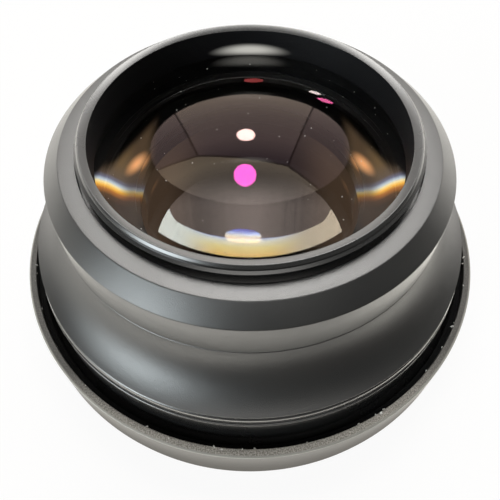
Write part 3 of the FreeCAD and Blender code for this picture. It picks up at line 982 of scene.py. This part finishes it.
def glass_mesh(name, lower, upper, clear):
    """Closed glass body between two faces. Beyond its clear radius it is blackened."""
    mesh = turned_mesh(name, in_metres(lower + upper[::-1]))
    for face in mesh.polygons:
        outside = math.hypot(face.center.x, face.center.y) > clear * MM
        if outside or abs(face.normal.z) < 0.5:
            face.material_index = RIM
        else:
            face.material_index = UPPER if face.normal.z > 0 else LOWER
    return mesh


# %% Rear glass: the crown and the flint
CROWN_DEPTH = 3.97
CEMENT_DEPTH = 5.38
FLINT_DEPTH = 2.81
FLINT_THICKNESS = 2.0
CEMENT_GAP = 0.004
cement_middle, crown_middle, rear_edge = measure("rear_crown")
crown_mesh = glass_mesh(
    "crown", face_points(cement_middle + CEMENT_GAP, CEMENT_DEPTH, rear_edge),
    face_points(crown_middle, -CROWN_DEPTH, rear_edge), OPENING + 0.4,
)
flint_mesh = glass_mesh(
    "flint", face_points(cement_middle - FLINT_THICKNESS, -FLINT_DEPTH, rear_edge),
    face_points(cement_middle - CEMENT_GAP, CEMENT_DEPTH, rear_edge), rear_edge,
)
add_piece("crown", crown_mesh, [REAR_FACE, CEMENT_FACE, RIM_BLACK], "lens", ["rear_crown"])
add_piece("flint", flint_mesh, [CEMENT_FACE, HOLLOW_FACE, RIM_BLACK], "lens", ["rear_flint"])

# %% Middle and front glass
MIDDLE_DEPTH = 2.45
FRONT_DEPTH = 6.06
FRONT_REAR_DEPTH = 8.6
FRONT_THICKNESS = 3.0
FRONT_CLEAR = 31.0
middle_mesh = glass_mesh(
    "middle_glass", face_points(middle_low, 0, middle_edge),
    face_points(middle_high, -MIDDLE_DEPTH, middle_edge), middle_edge,
)
bowl_low, bowl_high, bowl_edge = measure("front_element")
front_mesh = glass_mesh(
    "front_glass", face_points(bowl_low, FRONT_DEPTH, bowl_edge),
    face_points(bowl_low + FRONT_THICKNESS, FRONT_REAR_DEPTH, FRONT_CLEAR) + [(bowl_edge, bowl_high)],
    FRONT_CLEAR + 0.3,
)
add_piece("middle_glass", middle_mesh, [MIDDLE_FACE, FLAT_FACE, RIM_BLACK], "lens", ["middle_element"])
add_piece("front_glass", front_mesh, [BOWL_FACE, FRONT_FACE, RIM_BLACK], "lens", ["front_element"])

# %% [markdown]
# ## Dust and lint
# A used lens is never clean. Geometry nodes scatter points over a surface, put a tiny stretched ball on each, turn
# and size it by chance from a fixed seed, and join it all into one mesh. One tree makes the dust on the glass and
# the lint on the cap's lip, with its own values for each.

# %% Scatter dust and lint


def scatter_tree():
    """Tree that scatters stretched balls over a mesh."""
    group, entry, leave = new_group(
        "scatter",
        [
            ("Ground", "Geometry"), ("Density", "Float"), ("Size", "Float"), ("Stretch", "Float"),
            ("Seed", "Int"), ("Material", "Material"),
        ],
        [("Geometry", "Geometry")], "GeometryNodeTree",
    )
    spread, ball, place, join, paint = (group.nodes.new("GeometryNode" + kind) for kind in (
        "DistributePointsOnFaces", "MeshIcoSphere", "InstanceOnPoints", "RealizeInstances", "SetMaterial",
    ))
    turn, size = group.nodes.new("FunctionNodeRandomValue"), group.nodes.new("FunctionNodeRandomValue")
    scale = add_node(group, "CombineXYZ")
    set_inputs(ball, Radius=1.0, Subdivisions=1)
    turn.data_type = "FLOAT_VECTOR"
    set_inputs(turn, Max=(6.28, 6.28, 6.28))
    feed(group, size.inputs[2], product(group, entry.outputs["Size"], 0.5))
    feed(group, size.inputs[3], product(group, entry.outputs["Size"], 1.6))
    wire(
        group, (product(group, size.outputs[1], entry.outputs["Stretch"]), scale.inputs["X"]),
        (size.outputs[1], scale.inputs["Y"]), (size.outputs[1], scale.inputs["Z"]),
        (entry.outputs["Ground"], spread.inputs["Mesh"]), (entry.outputs["Density"], spread.inputs["Density"]),
        (entry.outputs["Seed"], spread.inputs["Seed"]), (entry.outputs["Seed"], turn.inputs["Seed"]),
        (spread.outputs["Points"], place.inputs["Points"]), (ball.outputs["Mesh"], place.inputs["Instance"]),
        (turn.outputs["Value"], place.inputs["Rotation"]), (scale.outputs["Vector"], place.inputs["Scale"]),
        (place.outputs["Instances"], join.inputs["Geometry"]), (join.outputs["Geometry"], paint.inputs["Geometry"]),
        (entry.outputs["Material"], paint.inputs["Material"]), (paint.outputs["Geometry"], leave.inputs["Geometry"]),
    )
    return group


SCATTER = scatter_tree()
DUST = grained("pale_dust", (0.62, 0.61, 0.58), (0.80, 0.78, 0.74), 0.8, 1.4, 9000.0, 0.005)


def scattered(name, ground, body, **values):
    """Scatter over a ground mesh, keep the result as a plain mesh, and remove the ground."""
    carrier = new_object(name + "_ground", ground)
    modifier = carrier.modifiers.new("scatter", "NODES")
    modifier.node_group = SCATTER
    sockets = {item.name: item.identifier for item in SCATTER.interface.items_tree if item.in_out == "INPUT"}
    for label, value in {**values, "Material": DUST}.items():
        modifier[sockets[label]] = value
    made = bpy.data.meshes.new_from_object(carrier.evaluated_get(bpy.context.evaluated_depsgraph_get()))
    carrier.modifiers.clear()
    bpy.data.objects.remove(carrier)
    made.name = name
    return add_piece(name, made, [], body)


dome = face_points(crown_middle + 0.02, -CROWN_DEPTH, rear_edge, OPENING - 0.8)
dome_mesh = turned_mesh("dust_ground", in_metres(dome))
scattered("glass_dust", dome_mesh, "lens", Density=30000.0, Size=0.00007, Stretch=1.3, Seed=4)
lip = cap_side - CAP_WALL
lip_mesh = turned_mesh("lint_ground", in_metres([
    (lip - 0.1, cap_top - 0.3), (lip + 0.25, cap_top - 0.3), (lip + 0.25, cap_top - 0.02), (lip - 0.1, cap_top - 0.05),
]))
scattered("cap_lint", lip_mesh, "cap", Density=150000.0, Size=0.00016, Stretch=2.4, Seed=11)

# %% [markdown]
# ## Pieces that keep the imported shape
# The rings, washers and seals inside are hardly seen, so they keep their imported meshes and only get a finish.

# %% Give the inner pieces their finish
KEPT = {
    "front_retaining_ring": INNER_BLACK, "middle_retaining_ring": LIT_BLACK, "baffle_washer": LIT_BLACK,
    "rear_cell": LIT_BLACK, "rear_spacer": LIT_BLACK, "rear_cell_seal": RUBBER, "rear_gasket": RUBBER,
    "front_gasket": RUBBER, "front_ring_screws": STEEL, "cap_felt_lining": FELT,
}
for node, finish in KEPT.items():
    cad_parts[node].data.materials.clear()
    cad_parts[node].data.materials.append(finish)
print("kept", len(KEPT))

# %% [markdown]
# ## The table
# A pale floor. The camera sees it almost white, but it still takes the soft shadow of the cap. For the metal it glows
# with painted light: bright round and behind the lens, with a painted shadow in front, on the camera's side, and
# painted shade round the cap's foot.

# %% Lay the table
TABLE_SIDE = 2.0
SEEN_WHITE = 0.93
CAP_REACH = 0.046
# Painted light for the metal: pools of light close round the lens, brighter at the right, a glow behind it, a painted
# shadow in front on the camera's side, and painted shade round the cap's foot.
GLOWS = {
    "plain": (1.0, 0.97, 0.90), "near_left": (3.1, 3.0, 2.75), "near_right": (5.0, 4.85, 4.4),
    "far": (2.0, 1.95, 1.82), "front": (0.16, 0.15, 0.14), "painted_contact_shade": (0.55, 0.52, 0.47),
}


def table_material():
    """Pale matte table that is nearly white to the camera, and glows with painted light and painted shadows for the
    metal above it.
    """
    material, tree, shader = new_material("pale_table", Base_Color=(0.86, 0.84, 0.80, 1), Roughness=0.8)
    place, _, y, _ = place_of(tree)
    reach = operate(tree, "VectorMath", "LENGTH", place)["Value"]
    right = ramp(tree, along(tree, place, (0.95, 0.3, 0.0)), 0.01, 0.05)
    near = blend(tree, right, GLOWS["near_left"], GLOWS["near_right"])
    colour = GLOWS["plain"]
    for mask, glow in (
        (ramp(tree, reach, 0.075, 0.052), near), (ramp(tree, y, 0.0, 0.06), GLOWS["far"]),
        (ramp(tree, along(tree, place, (0.38, -0.925, 0.0)), 0.052, 0.072), GLOWS["front"]),
        (ramp(tree, reach, CAP_REACH + 0.007, CAP_REACH), GLOWS["painted_contact_shade"]),
    ):
        colour = blend(tree, mask, colour, glow)
    rays = add_node(tree, "LightPath")
    white, lamp = add_node(tree, "Emission"), add_node(tree, "Emission")
    seen, lit = add_node(tree, "MixShader", Fac=SEEN_WHITE), add_node(tree, "MixShader")
    wire(
        tree, (colour, lamp.inputs["Color"]), (shader.outputs["BSDF"], seen.inputs[1]),
        (white.outputs["Emission"], seen.inputs[2]), (rays.outputs["Is Camera Ray"], lit.inputs["Fac"]),
        (lamp.outputs["Emission"], lit.inputs[1]), (seen.outputs["Shader"], lit.inputs[2]),
        (lit.outputs["Shader"], tree.nodes["Material Output"].inputs["Surface"]),
    )
    return material


half = TABLE_SIDE / 2
table_mesh = bpy.data.meshes.new("table")
table_mesh.from_pydata([(-half, -half, 0), (half, -half, 0), (half, half, 0), (-half, half, 0)], [], [(0, 1, 2, 3)])
table_mesh.materials.append(table_material())
table = new_object("table", table_mesh)
print("table", TABLE_SIDE, "m")

# %% [markdown]
# ## Finish
# Light has to pass many glass faces, so the renderer may follow it further than usual.

# %% Set the renderer
cycles = bpy.context.scene.cycles
cycles.max_bounces = 32
cycles.transmission_bounces = 32
cycles.glossy_bounces = 8
cycles.sample_clamp_indirect = 0.0
cycles.caustics_refractive = False
cycles.caustics_reflective = False
